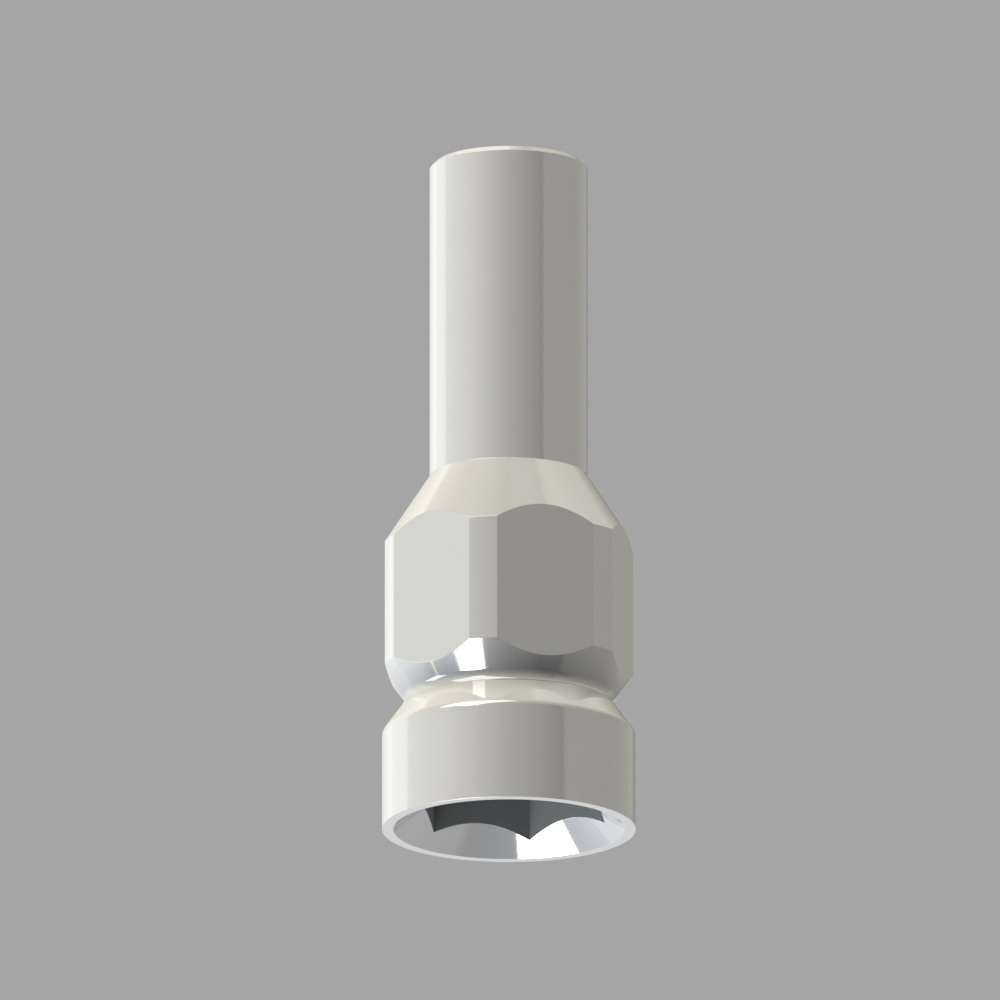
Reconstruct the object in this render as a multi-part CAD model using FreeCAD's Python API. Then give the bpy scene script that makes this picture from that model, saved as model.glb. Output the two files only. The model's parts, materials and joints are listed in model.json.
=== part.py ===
import FreeCAD, Part
import math
import os

# Dental abutment: a tube on a six-sided body with a round collar, turned and milled from one bar.
# The collar seats on a 4.8 mm implant platform with a flat rim and a 45 degree cone. An inner
# hexagon above the cone keeps it from turning, and a retaining screw goes down the tube and pulls
# on a conical seat above that hexagon.
# Lengths are in millimetres and angles in degrees. The origin is the centre of the seating rim,
# +Z runs up the axis to the tube's mouth, and a flat of both hexagons faces -Y.

# Heights along the axis, stacked from the rim upwards
OVERALL_HEIGHT = 13.0
COLLAR_HEIGHT = 1.85
GROOVE_LOWER_HEIGHT = 0.65
GROOVE_UPPER_HEIGHT = 0.61
BODY_HEIGHT = 2.39
CONE_HEIGHT = 1.38

# Turned outside
PLATFORM_DIAMETER = 4.8
GROOVE_DIAMETER = 3.88
TUBE_DIAMETER = 3.0
WAIST_FILLET = 0.2
SHOULDER_FILLET = 0.18
TUBE_CHAMFER = 0.1

# Milled outside
BODY_FLATS = 4.4

# Seat for the implant platform
RIM_WIDTH = 0.22
SEAT_CONE_ANGLE = 45.0
SOCKET_FLATS = 3.28
SOCKET_DEPTH = 1.6
SOCKET_DRILL_CLEARANCE = 0.08
SOCKET_DRILL_RELIEF = 0.2

# Way of the retaining screw
SCREW_DIAMETER = 1.6
SCREW_HEAD_DIAMETER = 2.2
SCREW_SHANK_CLEARANCE = 0.2
SCREW_HEAD_CLEARANCE = 0.1
SCREW_FLOOR_THICKNESS = 1.0
SCREW_SEAT_ANGLE = 45.0
CHANNEL_CHAMFER = 0.08
HOLE_CHAMFER = 0.1

# Every hexagon has this many sides
HEX_SIDES = 6

# Heights that follow from the stack
SHOULDER_Z = COLLAR_HEIGHT
WAIST_Z = SHOULDER_Z + GROOVE_LOWER_HEIGHT
BODY_BOTTOM_Z = WAIST_Z + GROOVE_UPPER_HEIGHT
BODY_TOP_Z = BODY_BOTTOM_Z + BODY_HEIGHT
CONE_TOP_Z = BODY_TOP_Z + CONE_HEIGHT

# Radii and depths that follow from the sizes above
PLATFORM_R = PLATFORM_DIAMETER / 2
GROOVE_R = GROOVE_DIAMETER / 2
TUBE_R = TUBE_DIAMETER / 2
MOUTH_R = PLATFORM_R - RIM_WIDTH
SOCKET_DRILL_R = (SOCKET_FLATS - SOCKET_DRILL_CLEARANCE) / 2
SOCKET_CEILING_Z = SOCKET_DEPTH + SOCKET_DRILL_RELIEF
HOLE_R = (SCREW_DIAMETER + SCREW_SHANK_CLEARANCE) / 2
CHANNEL_R = (SCREW_HEAD_DIAMETER + SCREW_HEAD_CLEARANCE) / 2
SCREW_SEAT_Z = SOCKET_CEILING_Z + SCREW_FLOOR_THICKNESS
SCREW_SEAT_RISE = (CHANNEL_R - HOLE_R) / math.tan(math.radians(SCREW_SEAT_ANGLE))
SCREW_SEAT_TOP_Z = SCREW_SEAT_Z + SCREW_SEAT_RISE


def at(radius, height):
    """Point of a turning profile: radius from the axis and height above the rim."""
    return FreeCAD.Vector(radius, 0, height)


def rounded(before, corner, after, fillet):
    """Where a fillet leaves one line, its middle, and where it joins the next, at a corner."""
    back = (before - corner).normalize()
    ahead = (after - corner).normalize()
    half_angle = back.getAngle(ahead) / 2
    reach = fillet / math.tan(half_angle)
    middle_line = (back + ahead).normalize()
    middle = corner + middle_line * (fillet / math.sin(half_angle) - fillet)
    return corner + back * reach, middle, corner + ahead * reach


def outer_profile():
    """Half section of the turned outside, closed along the axis."""
    rim_edge = at(PLATFORM_R, 0)
    shoulder = at(PLATFORM_R, SHOULDER_Z)
    waist = at(GROOVE_R, WAIST_Z)
    body_bottom = at(PLATFORM_R, BODY_BOTTOM_Z)
    shoulder_start, shoulder_mid, shoulder_end = rounded(rim_edge, shoulder, waist, SHOULDER_FILLET)
    waist_start, waist_mid, waist_end = rounded(shoulder, waist, body_bottom, WAIST_FILLET)
    upper_corners = [
        waist_end,
        body_bottom,
        at(PLATFORM_R, BODY_TOP_Z),
        at(TUBE_R, CONE_TOP_Z),
        at(TUBE_R, OVERALL_HEIGHT - TUBE_CHAMFER),
        at(TUBE_R - TUBE_CHAMFER, OVERALL_HEIGHT),
        at(0, OVERALL_HEIGHT),
        at(0, 0),
        rim_edge,
    ]
    edges = [
        Part.LineSegment(rim_edge, shoulder_start).toShape(),
        Part.Arc(shoulder_start, shoulder_mid, shoulder_end).toShape(),
        Part.LineSegment(shoulder_end, waist_start).toShape(),
        Part.Arc(waist_start, waist_mid, waist_end).toShape(),
    ]
    edges += [Part.LineSegment(a, b).toShape() for a, b in zip(upper_corners, upper_corners[1:])]
    return Part.Wire(edges)


def revolved(wire):
    """Solid swept by a closed half section turned once round the axis."""
    return Part.Face(wire).revolve(FreeCAD.Vector(0, 0, 0), FreeCAD.Vector(0, 0, 1), 360)


def hexagon(flats, bottom, top):
    """Six-sided prism between two heights, given across its flats, with a flat facing -Y."""
    corner_r = flats / 2 / math.cos(math.pi / HEX_SIDES)
    corners = []
    for side in range(HEX_SIDES + 1):
        angle = 2 * math.pi * side / HEX_SIDES
        corners.append(FreeCAD.Vector(corner_r * math.cos(angle), corner_r * math.sin(angle), bottom))
    return Part.Face(Part.makePolygon(corners)).extrude(FreeCAD.Vector(0, 0, top - bottom))


def flat_cutter():
    """Ring round the body hexagon, from the waist up: what the milling cutter takes away."""
    ring_r = 2 * PLATFORM_R
    ring = Part.makeCylinder(ring_r, OVERALL_HEIGHT - WAIST_Z, at(0, WAIST_Z))
    return ring.cut(hexagon(BODY_FLATS, WAIST_Z, OVERALL_HEIGHT))


def mouth_cone():
    """Open cone that meets the platform's bevel, from the rim up to just inside the hexagon's flats."""
    height = (MOUTH_R - SOCKET_DRILL_R) / math.tan(math.radians(SEAT_CONE_ANGLE))
    return Part.makeCone(MOUTH_R, SOCKET_DRILL_R, height)


def socket():
    """Engaging hexagon and the drilled recess above it that clears its cutter."""
    hexagon_space = hexagon(SOCKET_FLATS, 0, SOCKET_DEPTH)
    drilled = Part.makeCylinder(SOCKET_DRILL_R, SOCKET_CEILING_Z)
    return hexagon_space.fuse(drilled)


def screw_way():
    """Hole, conical seat and channel for the retaining screw, with a broken edge at each end."""
    section = [
        at(0, SOCKET_CEILING_Z),
        at(HOLE_R + HOLE_CHAMFER, SOCKET_CEILING_Z),
        at(HOLE_R, SOCKET_CEILING_Z + HOLE_CHAMFER),
        at(HOLE_R, SCREW_SEAT_Z),
        at(CHANNEL_R, SCREW_SEAT_TOP_Z),
        at(CHANNEL_R, OVERALL_HEIGHT - CHANNEL_CHAMFER),
        at(CHANNEL_R + CHANNEL_CHAMFER, OVERALL_HEIGHT),
        at(0, OVERALL_HEIGHT),
        at(0, SOCKET_CEILING_Z),
    ]
    return revolved(Part.makePolygon(section))


def abutment():
    """The whole piece: turned, milled outside, then bored and socketed along its axis."""
    turned = revolved(outer_profile())
    milled = turned.cut(flat_cutter())
    seated = milled.cut(socket()).cut(mouth_cone())
    return seated.cut(screw_way())


os.makedirs("parts", exist_ok=True)
piece = abutment()
print("valid", piece.isValid(), "solids", len(piece.Solids), "faces", len(piece.Faces))
print("volume mm3", round(piece.Volume, 4), "height mm", round(piece.BoundBox.ZLength, 4))
piece.Solids[0].exportStep("parts/abutment.step")
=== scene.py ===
"""Looks of a dental abutment: one turned and milled titanium piece in a soft studio.

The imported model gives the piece's box and its bores. The visible surface is worked out here as one
closed sheet: a half section carried once round the axis, whose stretches swap the turned radius for
the distance to a flat wherever the piece is milled six-sided.
"""

import json
import logging
import math
from dataclasses import dataclass, field
from enum import Enum

import bpy
import numpy as np
from mathutils import Matrix, Vector


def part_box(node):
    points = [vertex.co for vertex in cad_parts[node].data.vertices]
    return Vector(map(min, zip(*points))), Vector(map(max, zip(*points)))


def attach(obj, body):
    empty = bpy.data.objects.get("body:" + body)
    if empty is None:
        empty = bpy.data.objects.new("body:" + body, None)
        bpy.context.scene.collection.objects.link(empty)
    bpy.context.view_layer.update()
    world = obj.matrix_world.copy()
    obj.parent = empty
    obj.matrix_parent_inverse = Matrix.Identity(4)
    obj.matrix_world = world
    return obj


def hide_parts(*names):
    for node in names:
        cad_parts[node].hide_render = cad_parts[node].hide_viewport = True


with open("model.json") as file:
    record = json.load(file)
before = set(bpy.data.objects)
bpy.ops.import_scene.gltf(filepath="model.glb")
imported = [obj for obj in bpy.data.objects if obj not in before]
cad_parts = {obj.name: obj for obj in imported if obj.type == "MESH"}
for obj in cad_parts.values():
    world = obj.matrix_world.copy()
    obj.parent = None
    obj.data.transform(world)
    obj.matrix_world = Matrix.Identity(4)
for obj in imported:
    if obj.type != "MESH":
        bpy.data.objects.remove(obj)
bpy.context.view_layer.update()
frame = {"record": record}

log = logging.getLogger("abutment")

MM = 0.001
DEGREES = 180 / math.pi
NODE = "abutment"
BODY = "root"
PIECE = "abutment_surface"

Number = float | np.ndarray
Place = tuple[Number, Number]
Color = tuple[float, float, float]
Span = tuple[float, float]
Socket = bpy.types.NodeSocket
Feed = Socket | float | tuple | Vector


class Marks(Enum):
    """How a stretch of the surface was cut, as the number that its points carry."""

    TURNED = 0.0
    MILLED = 1.0
    BORED = 2.0
    BROACHED = 3.0


class Hexagon:
    """A regular six-sided outline round the axis, with one flat facing -Y."""

    SIDES = 6

    @classmethod
    def from_flat(cls, theta: np.ndarray) -> np.ndarray:
        """Angle from the middle of the nearest flat, in radians, between -30 and 30 degrees."""
        sector = 2 * math.pi / cls.SIDES
        return np.mod(theta, sector) - sector / 2

    @classmethod
    def reach(cls, theta: np.ndarray, flats: float) -> np.ndarray:
        """Distance from the axis to the outline: half its width over flats by the cosine of the angle."""
        return flats / 2 / np.cos(cls.from_flat(theta))


@dataclass
class Stretch:
    """One stretch of the surface between two edges, as a grid of rows by columns."""

    name: str
    marks: Marks
    radius: np.ndarray
    height: np.ndarray
    lean_out: np.ndarray
    lean_up: np.ndarray
    facing: np.ndarray
    # root: how much painted shade each point gets in the groove's root, from 0 to 1
    root: np.ndarray


@dataclass(frozen=True)
class Columns:
    """Directions round the axis at which the surface has points.

    A pair of columns stands close on each side of every corner of the two hexagons, so that each
    corner keeps a crisp edge with a tiny break.
    """

    outer_corner: float
    edge_break: float
    corner_radius: float
    flat_steps: int = 40
    strip_steps: int = 7

    def angles(self) -> np.ndarray:
        """All directions, in radians, from 0 to a full turn.

        Returns:
            The columns of one sector, repeated by adding a sixth of a turn each time.
        """
        half = math.pi / Hexagon.SIDES
        gap = self.edge_break / self.corner_radius
        strip = np.linspace(self.outer_corner + gap, half - gap, self.strip_steps)
        flat = np.linspace(-self.outer_corner + gap, self.outer_corner - gap, self.flat_steps + 1)
        sector = np.concatenate([-strip[::-1], flat, strip]) + half
        turns = np.arange(Hexagon.SIDES) * 2 * half
        return (turns[:, None] + sector[None, :]).ravel()


@dataclass
class Section:
    """The half section being drawn, stretch by stretch, in the order that the surface is walked."""

    theta: np.ndarray
    edge_break: float
    most_trim: float = 0.3
    stretches: list[Stretch] = field(default_factory=list)

    def stretch(self, name: str, marks: Marks, rows: int, *grids: Number) -> Stretch:
        """A stretch of this many rows, with each of its grids spread over all rows and columns."""
        shape = (rows, len(self.theta))
        return Stretch(name, marks, *(np.broadcast_to(grid, shape) for grid in grids))

    def line(
        self,
        name: str,
        start: Place,
        end: Place,
        rows: int,
        marks: Marks = Marks.TURNED,
        on_flats: np.ndarray | None = None,
        tangent_start: bool = False,
        tangent_end: bool = False,
        root: Span = (0.0, 0.0),
    ) -> None:
        """A straight stretch: point = start + share of the way * (end - start).

        Both ends are drawn back along the line by the edge break, or by a share of a short line. An
        end that runs smoothly into a rounding isn't. Outward is on the right of the way walked.

        Args:
            name: What the stretch is called in the log.
            start: Radius and height where it starts, as numbers or one value for each column.
            end: Radius and height where it ends, given alike.
            rows: Points along the stretch.
            marks: How it was cut.
            on_flats: Columns where the surface is a flat, and not round.
            tangent_start: True where the stretch starts smoothly.
            tangent_end: True where the stretch ends smoothly.
            root: How much painted shade its start and end get in the groove's root, from 0 to 1.
        """
        ones = np.ones_like(self.theta)
        r0, z0, r1, z1 = (np.asarray(value) * ones for value in (*start, *end))
        length = np.hypot(r1 - r0, z1 - z0)
        trim = np.minimum(self.edge_break, self.most_trim * length) / length
        first = np.zeros_like(trim) if tangent_start else trim
        last = ones if tangent_end else 1 - trim
        share = first + np.linspace(0, 1, rows)[:, None] * (last - first)
        facing = self.theta.copy()
        if on_flats is not None:
            facing = np.where(on_flats, self.theta - Hexagon.from_flat(self.theta), self.theta)
        radius, height = r0 + share * (r1 - r0), z0 + share * (z1 - z0)
        out, up = (z1 - z0) / length, (r0 - r1) / length
        # Share of painted shade in the groove's root, from the start's to the end's.
        depth = root[0] + share * (root[1] - root[0])
        self.stretches.append(self.stretch(name, marks, rows, radius, height, out, up, facing, depth))

    def rounding(
        self,
        name: str,
        before: Span,
        corner: Span,
        after: Span,
        radius: float,
        rows: int,
        root: Span = (0.0, 0.0),
    ) -> tuple[Span, Span, Stretch]:
        """A fillet: points on the circle that touches both lines of a corner.

        The circle's middle lies on the corner's bisector, at the radius by the sine of half the
        angle between the lines, and it touches them at the radius by that half's tangent.

        Args:
            name: What the stretch is called in the log.
            before: A point on the first line, as radius and height.
            corner: Where the two lines would meet.
            after: A point on the second line.
            radius: The fillet's radius.
            rows: Points along the arc, its two ends left to the lines.
            root: How much painted shade its start and end get in the groove's root, from 0 to 1.

        Returns:
            Where the arc leaves the first line, where it joins the second, and the stretch itself.
        """
        before, corner, after = (np.array(point) for point in (before, corner, after))
        back = (before - corner) / np.linalg.norm(before - corner)
        ahead = (after - corner) / np.linalg.norm(after - corner)
        half = math.acos(float(back @ ahead)) / 2
        reach = radius / math.tan(half)
        bisector = (back + ahead) / np.linalg.norm(back + ahead)
        centre = corner + bisector * radius / math.sin(half)
        start, end = corner + back * reach, corner + ahead * reach
        first, last = (math.atan2(*(point - centre)[::-1]) for point in (start, end))
        sweep = (last - first + math.pi) % (2 * math.pi) - math.pi
        share = np.linspace(0, 1, rows + 2)[1:-1, None]
        angle = first + sweep * share
        across, along = np.cos(angle), np.sin(angle)
        side = math.copysign(1.0, sweep)
        arc = self.stretch(
            name,
            Marks.TURNED,
            rows,
            centre[0] + radius * across,
            centre[1] + radius * along,
            side * across,
            side * along,
            self.theta,
            root[0] + share * (root[1] - root[0]),
        )
        return tuple(start), tuple(end), arc


@dataclass(frozen=True)
class Collar:
    """The round collar that covers the platform, and the groove above it.

    The two root numbers say how far each end of the waist's rounding lies in the groove's root,
    and so how much painted shade it gets; the groove cone's two numbers do the same for it.
    """

    radius: float
    height: float = 1.865 * MM
    shoulder_fillet: float = 0.18 * MM
    groove_radius: float = 1.94 * MM
    groove_lower: float = 0.635 * MM
    groove_upper: float = 0.62 * MM
    waist_fillet: float = 0.2 * MM
    # Painted shade in the groove's root, at each end of the waist's rounding and of the groove cone.
    waist_painted_shade: Span = (0.4, 1.0)
    cone_painted_shade: Span = (1.0, 0.0)

    @property
    def waist_z(self) -> float:
        """Height of the groove's deepest point."""
        return self.height + self.groove_lower

    @property
    def top_z(self) -> float:
        """Height where the groove runs out at the body."""
        return self.waist_z + self.groove_upper

    def cone_z(self, reach: np.ndarray) -> np.ndarray:
        """Height of the groove's upper cone: a straight rise from the waist to the full radius."""
        slope = self.groove_upper / (self.radius - self.groove_radius)
        return self.waist_z + (reach - self.groove_radius) * slope

    def draw(self, section: Section, body_flats: float) -> None:
        """Rim edge, wall, rounded shoulder, groove, and its upper cone as far as the flats.

        Args:
            section: The half section to add to.
            body_flats: Width of the body over its flats, where the groove's cone ends.
        """
        rim, shoulder = (self.radius, 0.0), (self.radius, self.height)
        waist, body = (self.groove_radius, self.waist_z), (self.radius, self.top_z)
        wall_end, cone_start, shoulder_arc = section.rounding(
            "shoulder", rim, shoulder, waist, self.shoulder_fillet, rows=9
        )
        cone_end, upper_start, waist_arc = section.rounding(
            "waist", shoulder, waist, body, self.waist_fillet, rows=15, root=self.waist_painted_shade
        )
        reach = np.minimum(Hexagon.reach(section.theta, body_flats), self.radius)
        upper_end = (reach, self.cone_z(reach))
        section.line("collar wall", rim, wall_end, rows=8, tangent_end=True)
        section.stretches.append(shoulder_arc)
        section.line("collar cone", cone_start, cone_end, rows=5, tangent_start=True, tangent_end=True)
        section.stretches.append(waist_arc)
        section.line(
            "groove cone", upper_start, upper_end, rows=9, tangent_start=True, root=self.cone_painted_shade
        )


@dataclass(frozen=True)
class Body:
    """The six-sided body, milled on the same bar, and the cone that leads to the tube."""

    radius: float
    bottom_z: float
    flats: float = 4.4 * MM
    height: float = 2.38 * MM
    cone_height: float = 1.38 * MM

    @property
    def top_z(self) -> float:
        """Height where the upper cone starts at the corners."""
        return self.bottom_z + self.height

    @property
    def cone_top_z(self) -> float:
        """Height where the cone meets the tube."""
        return self.top_z + self.cone_height

    def corner_angle(self) -> float:
        """Angle from a flat's middle to its edge, where it runs out at the round bar."""
        return math.acos(self.flats / 2 / self.radius)

    def draw(self, section: Section, collar: Collar, tube_radius: float) -> None:
        """Flats between two scalloped edges, then the cone above them.

        The flat's lower and upper ends are where its distance from the axis equals each cone's
        radius, so both edges are hyperbolas.

        Args:
            section: The half section to add to.
            collar: The collar below, whose groove cone the flats meet.
            tube_radius: Radius at the cone's top.
        """
        theta = section.theta
        reach = np.minimum(Hexagon.reach(theta, self.flats), self.radius)
        on_flats = np.abs(Hexagon.from_flat(theta)) < self.corner_angle()
        slope = self.cone_height / (self.radius - tube_radius)
        foot = collar.cone_z(reach)
        head = self.top_z + (self.radius - reach) * slope
        cut = Marks.MILLED
        section.line("body", (reach, foot), (reach, head), rows=16, marks=cut, on_flats=on_flats)
        section.line("upper cone", (reach, head), (tube_radius, self.cone_top_z), rows=12)


@dataclass(frozen=True)
class Tube:
    """The plain tube and its broken edge at the mouth."""

    bottom_z: float
    top_z: float
    radius: float = 1.5 * MM
    chamfer: float = 0.1 * MM

    def draw(self, section: Section, channel_mouth: float) -> None:
        """Wall, chamfer and the flat ring round the channel's mouth.

        Args:
            section: The half section to add to.
            channel_mouth: Radius of the channel's own broken edge.
        """
        edge_z = self.top_z - self.chamfer
        inner = self.radius - self.chamfer
        section.line("tube wall", (self.radius, self.bottom_z), (self.radius, edge_z), rows=36)
        section.line("tube chamfer", (self.radius, edge_z), (inner, self.top_z), rows=3)
        section.line("tube end", (inner, self.top_z), (channel_mouth, self.top_z), rows=3)


@dataclass(frozen=True)
class ScrewWay:
    """Channel, conical seat and hole for the retaining screw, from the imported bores."""

    channel_radius: float
    channel_bottom_z: float
    hole_radius: float
    hole_bottom_z: float
    hole_top_z: float
    top_z: float
    channel_chamfer: float = 0.08 * MM
    hole_chamfer: float = 0.1 * MM

    @property
    def channel_mouth(self) -> float:
        """Radius of the channel's broken edge at the tube's end."""
        return self.channel_radius + self.channel_chamfer

    @property
    def hole_mouth(self) -> float:
        """Radius of the hole's broken edge in the socket's ceiling."""
        return self.hole_radius + self.hole_chamfer

    @property
    def ceiling_z(self) -> float:
        """Height of the socket's ceiling, where the hole's broken edge starts."""
        return self.hole_bottom_z - self.hole_chamfer

    def draw(self, section: Section) -> None:
        """Down the channel, over the screw's seat and out through the hole.

        Args:
            section: The half section to add to.
        """
        channel, hole = self.channel_radius, self.hole_radius
        edge = (channel, self.top_z - self.channel_chamfer)
        seat_top, seat_end = (channel, self.channel_bottom_z), (hole, self.hole_top_z)
        hole_end = (hole, self.hole_bottom_z)
        section.line("channel edge", (self.channel_mouth, self.top_z), edge, rows=3)
        section.line("channel", edge, seat_top, rows=40, marks=Marks.BORED)
        section.line("screw seat", seat_top, seat_end, rows=4, marks=Marks.BORED)
        section.line("hole", seat_end, hole_end, rows=6, marks=Marks.BORED)
        section.line("hole edge", hole_end, (self.hole_mouth, self.ceiling_z), rows=3)


@dataclass(frozen=True)
class Seat:
    """Socket, 45 degree cone and flat rim that sit on the implant."""

    outer_radius: float
    ceiling_z: float
    rim_width: float = 0.215 * MM
    cone_angle: float = math.radians(45)
    socket_flats: float = 3.3 * MM
    socket_depth: float = 1.6 * MM
    drill_clearance: float = 0.08 * MM

    @property
    def mouth_radius(self) -> float:
        """Radius of the cone where it meets the rim."""
        return self.outer_radius - self.rim_width

    def draw(self, section: Section, hole_mouth: float) -> None:
        """Ceiling, drilled recess, hexagon walls, cone, and the rim that closes the section.

        The cone's height at a flat follows from its radius there, which scallops the edge between
        them.

        Args:
            section: The half section to add to.
            hole_mouth: Radius of the screw hole's broken edge in the ceiling.
        """
        drilled = (self.socket_flats - self.drill_clearance) / 2
        reach = Hexagon.reach(section.theta, self.socket_flats)
        everywhere = np.ones_like(section.theta, dtype=bool)
        meets = (self.mouth_radius - reach) / math.tan(self.cone_angle)
        ceiling, mouth = (drilled, self.ceiling_z), (self.mouth_radius, 0.0)
        recess, top = (drilled, self.socket_depth), (reach, self.socket_depth)
        cut = Marks.BROACHED
        section.line("ceiling", (hole_mouth, self.ceiling_z), ceiling, rows=4, marks=cut)
        section.line("recess", ceiling, recess, rows=3, marks=cut)
        section.line("socket top", recess, top, rows=3, marks=cut)
        section.line("socket wall", top, (reach, meets), rows=12, marks=cut, on_flats=everywhere)
        section.line("seat cone", (reach, meets), mouth, rows=10)
        section.line("rim", mouth, (self.outer_radius, 0.0), rows=4)


class Mixed(Enum):
    """What a Mix node mixes: its name there, the places of its two inputs and of its output."""

    NUMBER = ("FLOAT", 2, 3, 0)
    COLOR = ("RGBA", 6, 7, 2)


class Waves(Enum):
    """Where a noise runs: the name of its dimensions, and the input for the place."""

    ALONG = ("1D", "W")
    IN_SPACE = ("3D", "Vector")


class Sheet:
    """A node tree with short ways to add the few kinds of node used here."""

    def __init__(self, tree: bpy.types.NodeTree) -> None:
        """Keeps the tree that nodes are added to."""
        self.tree = tree

    def find(self, kind: str) -> bpy.types.Node:
        """The tree's own node of this type."""
        return next(node for node in self.tree.nodes if node.type == kind)

    def link(self, value: Feed, socket: Socket) -> None:
        """Feeds a socket from another one, or sets it to a plain number, vector or colour.

        Args:
            value: What it gets, a colour as its three parts.
            socket: The input.
        """
        if isinstance(value, Socket):
            self.tree.links.new(value, socket)
        elif socket.type == "RGBA":
            socket.default_value = (*value, 1.0)
        else:
            socket.default_value = value

    def add(self, kind: str, *values: Feed, **settings: str) -> bpy.types.Node:
        """A new node with its choices made and its first inputs fed.

        Args:
            kind: Its type in Blender.
            values: What its first inputs get, in order.
            settings: Its own choices by name.

        Returns:
            The node.
        """
        node = self.tree.nodes.new(kind)
        for name, choice in settings.items():
            setattr(node, name, choice)
        for socket, value in zip(node.inputs, values):
            self.link(value, socket)
        return node

    def math(self, operation: str, *values: Feed) -> Socket:
        """The result of one arithmetic step."""
        return self.add("ShaderNodeMath", *values, operation=operation).outputs["Value"]

    def dot(self, direction: Socket, fixed: Vector) -> Socket:
        """The share of a direction that lies along a fixed one."""
        node = self.add("ShaderNodeVectorMath", direction, fixed, operation="DOT_PRODUCT")
        return node.outputs["Value"]

    def length(self, place: Socket) -> Socket:
        """How long a vector is."""
        return self.add("ShaderNodeVectorMath", place, operation="LENGTH").outputs["Value"]

    def tinted(self, color: Feed, tint: Feed) -> Socket:
        """A colour times a tint or a number."""
        node = self.add("ShaderNodeVectorMath", color, tint, operation="MULTIPLY")
        return node.outputs["Vector"]

    def split(self, direction: Socket) -> list[Socket]:
        """The x, y and z of a vector."""
        return list(self.add("ShaderNodeSeparateXYZ", direction).outputs)

    def rise(self, value: Feed, low: Feed, high: Feed) -> Socket:
        """A straight rise from 0 at low to 1 at high, flat outside them. Low may be the larger."""
        return self.add("ShaderNodeMapRange", value, low, high).outputs["Result"]

    def mix(self, kind: Mixed, share: Feed, low: Feed, high: Feed) -> Socket:
        """A value part of the way between two others.

        Args:
            kind: What is mixed.
            share: How far it is from the first to the second, from 0 to 1.
            low: The first value.
            high: The second value.

        Returns:
            The value between them.
        """
        data_type, first, second, result = kind.value
        node = self.add("ShaderNodeMix", share, data_type=data_type)
        self.link(low, node.inputs[first])
        self.link(high, node.inputs[second])
        return node.outputs[result]

    def mix_number(self, share: Feed, low: Feed, high: Feed) -> Socket:
        """A number between two others."""
        return self.mix(Mixed.NUMBER, share, low, high)

    def mix_color(self, share: Feed, low: Feed, high: Feed) -> Socket:
        """A colour between two others."""
        return self.mix(Mixed.COLOR, share, low, high)

    def attribute(self, name: str) -> Socket:
        """A number that the mesh carries at each point."""
        return self.add("ShaderNodeAttribute", attribute_name=name).outputs["Fac"]

    def coordinates(self, kind: str) -> Socket:
        """The place on the piece in metres for Object, or in a world the direction for Generated."""
        return self.add("ShaderNodeTexCoord").outputs[kind]

    def light_path(self, name: str) -> Socket:
        """What the ray that arrives is, or how often it has been mirrored."""
        return self.add("ShaderNodeLightPath").outputs[name]

    def noise(self, kind: Waves, place: Socket, scale: float, detail: float) -> Socket:
        """Smooth noise along a number or in space.

        Args:
            kind: Which of the two.
            place: The number or the point.
            scale: Waves for each unit of it.
            detail: Layers of finer waves.

        Returns:
            A number about one half.
        """
        dimensions, place_name = kind.value
        node = self.add("ShaderNodeTexNoise", noise_dimensions=dimensions)
        for name, value in ((place_name, place), ("Scale", scale), ("Detail", detail)):
            self.link(value, node.inputs[name])
        return node.outputs["Fac"]

    def color_ramp(self, value: Socket, stops: list[tuple[float, Color]]) -> Socket:
        """A colour that changes evenly between stops.

        Args:
            value: The number looked at, from 0 to 1.
            stops: Position and colour of each stop, in order.

        Returns:
            The colour at the value.
        """
        node = self.add("ShaderNodeValToRGB", value)
        elements = node.color_ramp.elements
        for _ in range(len(stops) - len(elements)):
            elements.new(0.5)
        for element, (position, color) in zip(elements, stops):
            element.position = position
            element.color = (*color, 1.0)
        return node.outputs["Color"]


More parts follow.
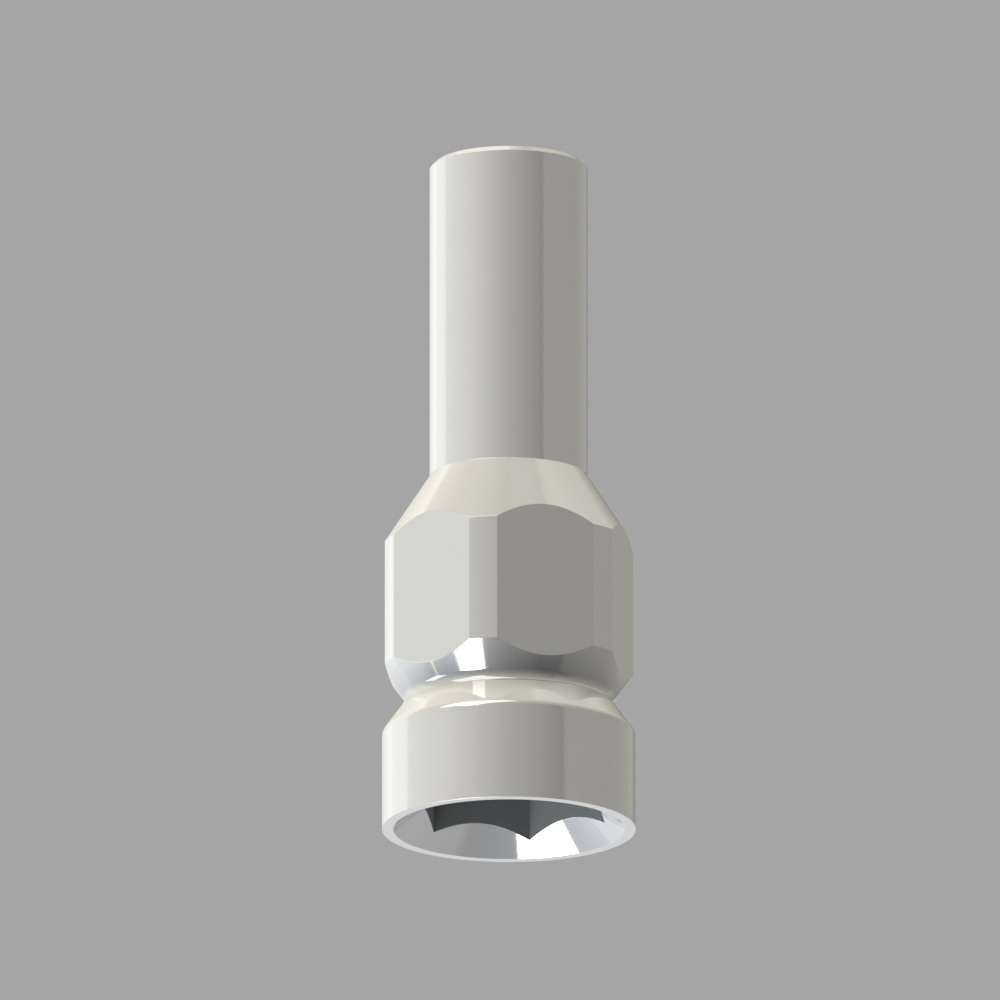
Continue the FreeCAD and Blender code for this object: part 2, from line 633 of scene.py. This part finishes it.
@dataclass(frozen=True)
class PolishedTitanium:
    """Bright polished titanium with faint turning rings, milling lines and a duller bore, and
    painted shade in the groove's root and in the socket.

    The rings' scale is for each millimetre, in which the surface carries its own run, and the
    cloud's for each metre of its object coordinates.
    """

    name: str = "polished_titanium"
    color: Color = (0.77, 0.76, 0.73)
    # Darker than the polished metal, partly for the broached cut and partly as painted shade of the
    # socket's recess.
    broached_painted_shade_color: Color = (0.355, 0.37, 0.38)
    roughness: float = 0.06
    bore_roughness: float = 0.3
    broached_roughness: float = 1.0
    roughness_spread: float = 0.02
    tone_base: float = 0.985
    tone_spread: float = 0.03
    # Painted shade: how dark the colour gets at the groove's root.
    painted_root_shade: float = 0.7
    cloud_scale: float = 900.0
    noise_detail: float = 3.0
    ring_scale: float = 38.0
    ring_depth: float = 0.02
    ring_distance: float = 0.01 * MM

    def build(self) -> bpy.types.Material:
        """The material, with rings that follow the run along the half section.

        Returns:
            A node material that reads the mesh's attributes run, across, marks and root, the share of
            painted shade in the groove.
        """
        material = bpy.data.materials.new(self.name)
        material.use_nodes = True
        sheet = Sheet(material.node_tree)
        shader = sheet.find("BSDF_PRINCIPLED")
        shader.inputs["Metallic"].default_value = 1.0
        marks = sheet.attribute("marks")
        milled, bored, broached = (
            sheet.math("COMPARE", marks, cut.value, 0.5)
            for cut in (Marks.MILLED, Marks.BORED, Marks.BROACHED)
        )
        lengthwise = sheet.math("MAXIMUM", milled, broached)
        line = sheet.mix_number(lengthwise, sheet.attribute("run"), sheet.attribute("across"))
        rings = sheet.noise(Waves.ALONG, line, self.ring_scale, self.noise_detail)
        place = sheet.coordinates("Object")
        cloud = sheet.noise(Waves.IN_SPACE, place, self.cloud_scale, self.noise_detail)
        base = sheet.mix_number(bored, self.roughness, self.bore_roughness)
        base = sheet.mix_number(broached, base, self.broached_roughness)
        sheet.link(self.uneven(sheet, base, rings, cloud), shader.inputs["Roughness"])
        sheet.link(self.tone(sheet, cloud, broached), shader.inputs["Base Color"])
        bump = sheet.add("ShaderNodeBump", self.ring_depth, self.ring_distance)
        sheet.link(rings, bump.inputs["Height"])
        sheet.link(bump.outputs["Normal"], shader.inputs["Normal"])
        return material

    def uneven(self, sheet: Sheet, base: Socket, rings: Socket, cloud: Socket) -> Socket:
        """The base plus each noise's distance from one half times the spread.

        Args:
            sheet: The material's node tree.
            base: The roughness of the cut.
            rings: Noise along the run.
            cloud: Noise in space.

        Returns:
            The roughness.
        """
        for noise in (rings, cloud):
            change = sheet.math("MULTIPLY", sheet.math("SUBTRACT", noise, 0.5), self.roughness_spread)
            base = sheet.math("ADD", base, change)
        return base

    def tone(self, sheet: Sheet, cloud: Socket, broached: Socket) -> Socket:
        """The metal's colour: faintly cloudy, with painted shade in the groove's root, and darker in the
        broached socket, partly for its cut and partly as painted shade of the recess.

        Args:
            sheet: The material's node tree.
            cloud: Noise in space.
            broached: 1 in the socket, and 0 elsewhere.

        Returns:
            The colour.
        """
        tone = sheet.math("ADD", self.tone_base, sheet.math("MULTIPLY", cloud, self.tone_spread))
        # Painted shade: the colour darkens towards the groove's root, by the root share that the mesh
        # carries.
        depth = sheet.mix_number(sheet.attribute("root"), 1.0, self.painted_root_shade)
        tone = sheet.math("MULTIPLY", tone, depth)
        # The socket gets the darker colour: partly its cut, partly painted shade of the recess.
        bright, dull = (sheet.tinted(color, tone) for color in (self.color, self.broached_painted_shade_color))
        return sheet.mix_color(broached, bright, dull)


@dataclass
class Abutment:
    """The whole piece, drawn as one closed sheet from its sub-assemblies."""

    finish: PolishedTitanium
    edge_break: float = 0.005 * MM

    def bore(self, name: str) -> dict:
        """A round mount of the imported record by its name."""
        return next(mount for mount in frame["record"]["mounts"] if mount["name"] == name)

    def span(self, mount: dict) -> tuple[float, float, float]:
        """The size of a round mount, whose position is at its middle.

        Args:
            mount: The mount's row in the record.

        Returns:
            Its radius and the heights of its lower and upper ends.
        """
        half = mount["dims"]["length_mm"] * MM / 2
        middle = mount["pos_m"][2]
        return mount["dims"]["r_mm"] * MM, middle - half, middle + half

    def section(self) -> Section:
        """Draws every stretch in the order collar, body, tube, channel, hole, socket, seat and rim.

        Returns:
            The closed half section over all columns.
        """
        low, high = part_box(NODE)
        outer = (high[0] - low[0]) / 2
        top_z = high[2]
        collar = Collar(outer)
        body = Body(outer, collar.top_z)
        tube = Tube(body.cone_top_z, top_z)
        hole_radius, hole_bottom, hole_top = self.span(self.bore("screw_hole"))
        channel_radius = self.span(self.bore("screw_channel"))[0]
        seat_top = hole_top + channel_radius - hole_radius
        way = ScrewWay(channel_radius, seat_top, hole_radius, hole_bottom, hole_top, top_z)
        seat = Seat(outer, way.ceiling_z)
        columns = Columns(body.corner_angle(), self.edge_break, outer)
        section = Section(columns.angles(), self.edge_break)
        collar.draw(section, body.flats)
        body.draw(section, collar, tube.radius)
        tube.draw(section, way.channel_mouth)
        way.draw(section)
        seat.draw(section, way.hole_mouth)
        for stretch in section.stretches:
            log.info("%s: %d rows", stretch.name, len(stretch.radius))
        return section

    def build(self) -> bpy.types.Object:
        """Turns the section's grid into a mesh with its normals and carried numbers.

        A point lies at (radius cos angle, radius sin angle, height). Its normal leans from the
        axis by the section's own slope, and faces along the column or square to the flat. Its run is
        the length of the section up to it, and across is its distance from the flat's middle line.
        Its root is its share of painted shade in the groove.

        Returns:
            The finished piece.
        """
        section = self.section()
        theta = section.theta
        stack = section.stretches
        radius, height, out, up, facing, root = (
            np.concatenate([getattr(stretch, name) for stretch in stack])
            for name in ("radius", "height", "lean_out", "lean_up", "facing", "root")
        )
        marks = np.concatenate([np.full(s.radius.shape, s.marks.value) for s in stack])
        points = np.stack([radius * np.cos(theta), radius * np.sin(theta), height], axis=-1)
        normals = np.stack([out * np.cos(facing), out * np.sin(facing), up], axis=-1)
        steps = np.hypot(np.diff(radius, axis=0), np.diff(height, axis=0))
        run = np.concatenate([np.zeros((1, len(theta))), np.cumsum(steps, axis=0)]) / MM
        across = radius * np.sin(Hexagon.from_flat(theta)) / MM
        mesh = self.mesh_from(points)
        mesh.normals_split_custom_set_from_vertices(normals.reshape(-1, 3))
        # root carries each point's share of painted shade in the groove's root.
        for name, values in (("run", run), ("across", across), ("marks", marks), ("root", root)):
            layer = mesh.attributes.new(name, "FLOAT", "POINT")
            layer.data.foreach_set("value", values.ravel().astype(np.float32))
        piece = bpy.data.objects.new(PIECE, mesh)
        bpy.context.scene.collection.objects.link(piece)
        piece.data.materials.append(self.finish.build())
        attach(piece, BODY)
        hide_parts(NODE)
        log.info("%s: %d points, %d faces", piece.name, len(mesh.vertices), len(mesh.polygons))
        return piece

    def mesh_from(self, points: np.ndarray) -> bpy.types.Mesh:
        """A mesh of four-sided faces over a grid that closes on itself both ways.

        Args:
            points: Rows by columns by three coordinates.

        Returns:
            The mesh, smooth shaded, with its faces outward.
        """
        rows, columns = points.shape[:2]
        here = np.arange(rows * columns).reshape(rows, columns)
        right = np.roll(here, -1, axis=1)
        above, diagonal = (np.roll(index, -1, axis=0) for index in (here, right))
        faces = np.stack([here, right, diagonal, above], axis=-1).reshape(-1, 4)
        mesh = bpy.data.meshes.new(PIECE)
        mesh.vertices.add(rows * columns)
        mesh.vertices.foreach_set("co", points.ravel())
        mesh.loops.add(faces.size)
        mesh.loops.foreach_set("vertex_index", faces.ravel().astype(np.int32))
        mesh.polygons.add(len(faces))
        mesh.polygons.foreach_set("loop_start", np.arange(0, faces.size, 4, dtype=np.int32))
        mesh.polygons.foreach_set("use_smooth", np.ones(len(faces), dtype=bool))
        mesh.update(calc_edges=True)
        mesh.validate()
        return mesh


def light_of(level: float) -> float:
    """Light that a screen level from 0 to 255 stands for, by the usual curve of screens."""
    share = level / 255
    return ((share + 0.055) / 1.055) ** 2.4 if share > 0.04045 else share / 12.92


def heading(azimuth: float, elevation: float) -> Vector:
    """Direction at an azimuth to the right of the camera's back, and at an elevation, in degrees."""
    a, e = math.radians(azimuth), math.radians(elevation)
    return Vector((math.sin(a) * math.cos(e), -math.cos(a) * math.cos(e), math.sin(e)))


class Tint(Enum):
    """Colour of a light, scaled so that the bright metal mirrors its level."""

    WARM = (1.299, 1.27, 1.155)
    WALL = (1.299, 1.3, 1.27)
    PALE = (1.299, 1.329, 1.314)
    PLAIN = (1.299, 1.316, 1.37)
    COOL = (1.299, 1.385, 1.515)
    CREAM = (1.299, 1.293, 1.2)

    def at(self, level: float) -> Color:
        """This colour at a screen level, as light."""
        return tuple(light_of(level) * part for part in self.value)


@dataclass(frozen=True)
class Gaze:
    """A direction that the metal mirrors, as the numbers that the room is laid out by.

    The turn is its azimuth in radians, more than 0 on the right of the camera's back, and the place
    is the same as a share of the way round. Aside, the turn's size, and rise are in degrees.
    """

    direction: Socket
    turn: Socket
    place: Socket
    aside: Socket
    rise: Socket

    @classmethod
    def along(cls, sheet: Sheet, direction: Socket) -> "Gaze":
        """Works the numbers out of a direction: the arctangent of x by -y, and the arcsine of z.

        Args:
            sheet: The world's node tree.
            direction: The direction, turned so that the camera's back is -Y.

        Returns:
            The direction with its numbers.
        """
        x, y, z = sheet.split(direction)
        turn = sheet.math("ARCTAN2", x, sheet.math("MULTIPLY", y, -1.0))
        place = sheet.math("ADD", sheet.math("DIVIDE", turn, 2 * math.pi), 0.5)
        aside = sheet.math("MULTIPLY", sheet.math("ABSOLUTE", turn), DEGREES)
        rise = sheet.math("MULTIPLY", sheet.math("ARCSINE", z), DEGREES)
        return cls(direction, turn, place, aside, rise)


@dataclass(frozen=True)
class Band:
    """A ring of the room at one height, whose light changes evenly between named places.

    Each stop is an azimuth in degrees to the right of the camera's back, the level that the metal
    mirrors there, and the tint.
    """

    stops: tuple[tuple[float, float, Tint], ...]

    def draw(self, sheet: Sheet, gaze: Gaze) -> Socket:
        """The band's light in a direction."""
        ramp = [((azimuth + 180) / 360, tint.at(level)) for azimuth, level, tint in self.stops]
        return sheet.color_ramp(gaze.place, ramp)


@dataclass(frozen=True)
class Window:
    """A bright or dark pane at a great distance, given by its corners as azimuth and elevation.

    The corners go round anticlockwise, as seen from the piece.
    """

    corners: tuple[Span, ...]
    light: float
    softness: float = 0.02
    tint: Color = (1.0, 1.0, 0.98)

    def mask(self, sheet: Sheet, gaze: Gaze) -> Socket:
        """How far a direction is inside, by its distance from each plane through two corners.

        Each plane also goes through the piece, and the planes' shares are multiplied.

        Args:
            sheet: The world's node tree.
            gaze: The direction.

        Returns:
            A number that is 1 inside and falls to 0 over the soft edge.
        """
        inside = 1.0
        for start, end in zip(self.corners, self.corners[1:] + self.corners[:1]):
            inward = heading(*start).cross(heading(*end)).normalized()
            depth = sheet.dot(gaze.direction, inward)
            edge = sheet.rise(depth, -self.softness / 2, self.softness / 2)
            inside = sheet.math("MULTIPLY", inside, edge)
        return inside

    def draw(self, sheet: Sheet, gaze: Gaze, behind: Socket) -> Socket:
        """The light in a direction, with the pane over what lies behind it."""
        glow = tuple(self.light * part for part in self.tint)
        return sheet.mix_color(self.mask(sheet, gaze), behind, glow)


WARM, WALL, PALE, PLAIN, COOL, CREAM = Tint
# Each band is described by the few places where its light turns: the room is bright behind the
# piece on the left, has a corner there, falls off towards the front, and has one paler screen on
# the right.
PLATE = Band((
    (-180, 204, PLAIN), (-172, 210, PLAIN), (-136, 213, COOL), (-134, 202, COOL),
    (-110, 186, COOL), (-20, 150, COOL), (55, 143, COOL), (80, 145, PLAIN),
    (91, 158, PLAIN), (140, 165, PLAIN), (168, 155, PLAIN), (177, 204, PLAIN),
))
FLOOR = Band((
    (-180, 200, PLAIN), (-148, 230, PLAIN), (-136, 232, COOL), (-134, 226, COOL),
    (-106, 196, COOL), (-104, 188, COOL), (-80, 180, COOL), (-28, 155, PLAIN),
    (0, 131, PLAIN), (45, 100, PLAIN), (68, 101, PLAIN), (73, 119, WALL),
    (100, 132, WALL), (172, 150, WALL), (180, 200, PLAIN),
))
WALLS = Band((
    (-180, 200, WALL), (-144, 240, PALE), (-136, 246, PALE), (-133, 239, PALE),
    (-107, 235, PALE), (-105, 219, PALE), (-60, 206, WALL), (-38, 191, WALL),
    (0, 165, WALL), (50, 136, WALL), (53, 151, WALL), (110, 149, WALL),
    (147, 158, CREAM), (172, 125, WARM), (178, 200, WALL),
))
CEILING = Band((
    (-180, 238, WARM), (-146, 240, WARM), (-136, 247, WARM), (-134.5, 228, WARM),
    (-100, 212, WARM), (-50, 201, WARM), (-10, 194, WARM), (84, 198, WARM), (88, 208, WARM),
    (128, 195, WARM), (142, 206, WARM), (153, 190, WARM), (180, 225, WARM),
))
STRIP = Band((
    (-180, 275, CREAM), (-135, 266, CREAM), (-105, 264, CREAM), (-60, 256, CREAM),
    (-15, 241, CREAM), (10, 226, CREAM), (40, 208, CREAM), (60, 215, CREAM),
    (75, 216, CREAM), (90, 200, CREAM), (105, 178, CREAM), (120, 176, CREAM),
))
# In order: the large low window, the large high one and the wedge at its foot, the one low on the
# left, and the narrow gap below that. The last pane is a dark post on the right.
WINDOWS = (
    Window(((-131.1, -67.2), (-11.8, -69.3), (-43.7, -46.5), (-97.9, -45.3)), 10.0),
    Window(((-31.3, 17.3), (14.8, 57.1), (-84.5, 66.8), (-72.2, 30.4)), 1.45),
    Window(((-42.5, 17.7), (-27.9, 17.7), (-27.7, 22.2), (-42.7, 22.2)), 1.9),
    Window(((-92.1, -33.9), (-73.5, -24.2), (-87.7, -0.9), (-104.6, -9.4)), 1.7),
    Window(((-97.7, -46.5), (-95.3, -46.5), (-95.6, -29.5), (-97.4, -29.5)), 1.15, 0.005),
    Window(((145.3, -7.0), (146.7, -7.0), (146.7, 37.0), (145.3, 37.0)), 0.5, 0.005),
)


@dataclass(frozen=True)
class Room:
    """The soft room that the metal mirrors, laid out in degrees.

    Every pair says where a change starts and where it ends, as elevations in the fields named for
    heights and as distances from the camera's back in those named for sides.
    """

    plate_sides: Span = (30.0, 157.0)
    plate_heights: Span = (-66.0, -5.0)
    plate_softness: float = 1.5
    wall_heights: Span = (-50.0, 14.0)
    warm_heights: Span = (18.0, 28.0)
    warmth: Color = (1.0, 0.96, 0.89)
    back_sides: Span = (85.0, 115.0)
    front_heights: Span = (18.0, 80.0)
    left_heights: Span = (43.0, 47.0)
    right_heights: Span = (22.0, 50.0)
    strip_height: float = 20.0
    strip_reach: Span = (10.0, 8.0)
    strip_sides: Span = (150.0, 135.0)
    one_mirror: float = 1.5

    def draw(self, sheet: Sheet, direction: Socket) -> Socket:
        """Light that reaches the metal from each direction.

        Four bands go round the room, at the plate below the piece, the floor, the walls and the
        ceiling. The strip and the windows lie over them.

        Args:
            sheet: The world's node tree.
            direction: The direction looked in, turned so that the camera's back is -Y.

        Returns:
            The light's colour.
        """
        gaze = Gaze.along(sheet, direction)
        light = self.lower_part(sheet, gaze)
        warm = sheet.tinted(light, self.warmth)
        light = sheet.mix_color(sheet.rise(gaze.rise, *self.warm_heights), light, warm)
        light = sheet.mix_color(self.ceiling_share(sheet, gaze), light, CEILING.draw(sheet, gaze))
        light = sheet.mix_color(self.strip_share(sheet, gaze), light, STRIP.draw(sheet, gaze))
        for window in WINDOWS:
            light = window.draw(sheet, gaze, light)
        return light

    def lower_part(self, sheet: Sheet, gaze: Gaze) -> Socket:
        """Plate, floor and walls.

        The plate's edge rises towards the back by the square of the way there, and the floor's light
        turns into the walls' by the square of the height.

        Args:
            sheet: The world's node tree.
            gaze: The direction.

        Returns:
            The light's colour, without a ceiling.
        """
        bend = sheet.math("POWER", sheet.rise(gaze.aside, *self.plate_sides), 2.0)
        edge = sheet.mix_number(bend, *self.plate_heights)
        off = sheet.math("SUBTRACT", gaze.rise, edge)
        above = sheet.rise(off, -self.plate_softness, self.plate_softness)
        light = sheet.mix_color(above, PLATE.draw(sheet, gaze), FLOOR.draw(sheet, gaze))
        climb = sheet.math("POWER", sheet.rise(gaze.rise, *self.wall_heights), 2.0)
        return sheet.mix_color(sheet.math("MULTIPLY", climb, above), light, WALLS.draw(sheet, gaze))

    def ceiling_share(self, sheet: Sheet, gaze: Gaze) -> Socket:
        """How much of the light is the ceiling's, which starts lower in front than behind.

        Args:
            sheet: The world's node tree.
            gaze: The direction.

        Returns:
            A number from 0 to 1.
        """
        behind = sheet.rise(gaze.aside, *self.back_sides)
        on_right = sheet.math("GREATER_THAN", gaze.turn, 0.0)
        start, end = (
            sheet.mix_number(behind, front, sheet.mix_number(on_right, left, right))
            for front, left, right in zip(self.front_heights, self.left_heights, self.right_heights)
        )
        return sheet.rise(gaze.rise, start, end)

    def strip_share(self, sheet: Sheet, gaze: Gaze) -> Socket:
        """Where the strip is, which only the second of two mirrors shows.

        Args:
            sheet: The world's node tree.
            gaze: The direction.

        Returns:
            1 on the strip in a second mirror, and 0 elsewhere.
        """
        off = sheet.math("ABSOLUTE", sheet.math("SUBTRACT", gaze.rise, self.strip_height))
        near = sheet.rise(off, *self.strip_reach)
        inside = sheet.math("MULTIPLY", near, sheet.rise(gaze.aside, *self.strip_sides))
        again = sheet.math("GREATER_THAN", sheet.light_path("Glossy Depth"), self.one_mirror)
        return sheet.math("MULTIPLY", inside, again)


@dataclass(frozen=True)
class Studio:
    """The world: the soft room for the metal, and a plain background for the camera.

    Below the horizon the background has the lit floor's own colour, so that the floor has no edge.
    """

    camera_azimuth: float
    room: Room = Room()
    level: float = 165
    floor_look: Color = (0.68, 0.67, 0.62)
    horizon: Span = (0.0, 12.0)

    def build(self) -> None:
        """Sets the scene's world."""
        world = bpy.data.worlds.new("studio")
        bpy.context.scene.world = world
        world.use_nodes = True
        sheet = Sheet(world.node_tree)
        looking = sheet.coordinates("Generated")
        turned = sheet.add("ShaderNodeVectorRotate", looking, rotation_type="Z_AXIS")
        turned.inputs["Angle"].default_value = -math.radians(self.camera_azimuth)
        room = self.room.draw(sheet, turned.outputs["Vector"])
        seen = sheet.mix_color(sheet.light_path("Is Camera Ray"), room, self.backdrop(sheet, looking))
        sheet.link(seen, sheet.find("BACKGROUND").inputs["Color"])
        log.info("studio: world with %d windows", len(WINDOWS))

    def backdrop(self, sheet: Sheet, looking: Socket) -> Socket:
        """The plain background: the floor's look below the horizon, and an even grey above it.

        Args:
            sheet: The world's node tree.
            looking: The direction that the camera looks in.

        Returns:
            The background's colour.
        """
        height = sheet.split(looking)[2]
        low, high = (math.sin(math.radians(angle)) for angle in self.horizon)
        grey = (light_of(self.level),) * 3
        return sheet.mix_color(sheet.rise(height, low, high), self.floor_look, grey)


@dataclass(frozen=True)
class PalePaint:
    """Matt pale paint, seen from above only, that fades out towards the floor's edge."""

    name: str = "pale_floor"
    color: Color = (0.8, 0.8, 0.79)

    def build(self, clear_from: float, full_to: float) -> bpy.types.Material:
        """The material, which only the camera sees. The metal mirrors the room in its place.

        Args:
            clear_from: Distance from the axis where nothing is left of it.
            full_to: Distance from the axis up to which it is full.

        Returns:
            A node material that mixes paint and nothing.
        """
        material = bpy.data.materials.new(self.name)
        material.use_nodes = True
        sheet = Sheet(material.node_tree)
        sheet.tree.nodes.remove(sheet.find("BSDF_PRINCIPLED"))
        matt = sheet.add("ShaderNodeBsdfDiffuse", self.color).outputs[0]
        clear = sheet.add("ShaderNodeBsdfTransparent").outputs[0]
        near = sheet.rise(sheet.length(sheet.coordinates("Object")), clear_from, full_to)
        below = sheet.add("ShaderNodeNewGeometry").outputs["Backfacing"]
        from_above = sheet.math("MULTIPLY", near, sheet.math("SUBTRACT", 1.0, below))
        share = sheet.math("MULTIPLY", from_above, sheet.light_path("Is Camera Ray"))
        mix = sheet.add("ShaderNodeMixShader", share, clear, matt).outputs[0]
        sheet.link(mix, sheet.find("OUTPUT_MATERIAL").inputs["Surface"])
        return material


@dataclass(frozen=True)
class Floor:
    """A pale disc under the rim that fades into the background, over two shares of its radius.

    The photograph's camera looks up from below it, so it is clear from underneath.
    """

    finish: PalePaint = PalePaint()
    radius: float = 0.09
    sides: int = 96
    fade_end: float = 0.95
    fade_start: float = 0.3

    def build(self) -> None:
        """The disc: points at (radius cos angle, radius sin angle, 0) round one many-sided face."""
        ring = np.linspace(0, 2 * math.pi, self.sides + 1)[:-1]
        outline = np.stack([np.cos(ring), np.sin(ring), np.zeros_like(ring)], axis=-1) * self.radius
        mesh = bpy.data.meshes.new("floor")
        mesh.from_pydata(outline.tolist(), [], [list(range(self.sides))])
        floor = bpy.data.objects.new("floor", mesh)
        bpy.context.scene.collection.objects.link(floor)
        paint = self.finish.build(self.radius * self.fade_end, self.radius * self.fade_start)
        floor.data.materials.append(paint)
        log.info("floor: disc of %d sides", self.sides)


@dataclass(frozen=True)
class PhotoCamera:
    """The view from below, with no perspective, that puts the piece where the photograph has it."""

    azimuth: float = -18.2
    elevation: float = -15.0
    picture_pixels: int = 1000
    pixels_per_mm: float = 52.9
    axis_pixel_x: float = 509.0
    base_pixel_y: float = 829.25
    distance: float = 0.2
    clip: Span = (0.01, 1.0)

    def build(self) -> None:
        """Aims the camera so that the base's centre falls on its pixel.

        The picture's middle is that many pixels left of the axis and above the base's centre, and
        both lengths are laid off along the picture's own right and up.
        """
        angle = math.radians(self.azimuth)
        back = heading(self.azimuth, self.elevation)
        right = Vector((math.cos(angle), math.sin(angle), 0))
        up = back.cross(right)
        pixel = MM / self.pixels_per_mm
        aside = (self.picture_pixels / 2 - self.axis_pixel_x) * pixel
        above = (self.base_pixel_y - self.picture_pixels / 2) * pixel
        data = bpy.data.cameras.new("photo_camera")
        data.type = "ORTHO"
        data.ortho_scale = self.picture_pixels * pixel
        data.clip_start, data.clip_end = self.clip
        camera = bpy.data.objects.new("photo_camera", data)
        bpy.context.scene.collection.objects.link(camera)
        turn = Matrix((right, up, back)).transposed().to_4x4()
        place = right * aside + up * above + back * self.distance
        camera.matrix_world = Matrix.Translation(place) @ turn
        bpy.context.scene.camera = camera
        log.info("camera: %.1f, %.1f degrees", self.azimuth, self.elevation)


def main() -> None:
    """Builds the piece, the studio and the camera."""
    logging.basicConfig(level=logging.INFO, format="%(name)s: %(message)s")
    bpy.context.scene.view_settings.view_transform = "Standard"
    camera = PhotoCamera()
    Abutment(PolishedTitanium()).build()
    Studio(camera.azimuth).build()
    Floor().build()
    camera.build()


if __name__ == "__main__":
    main()
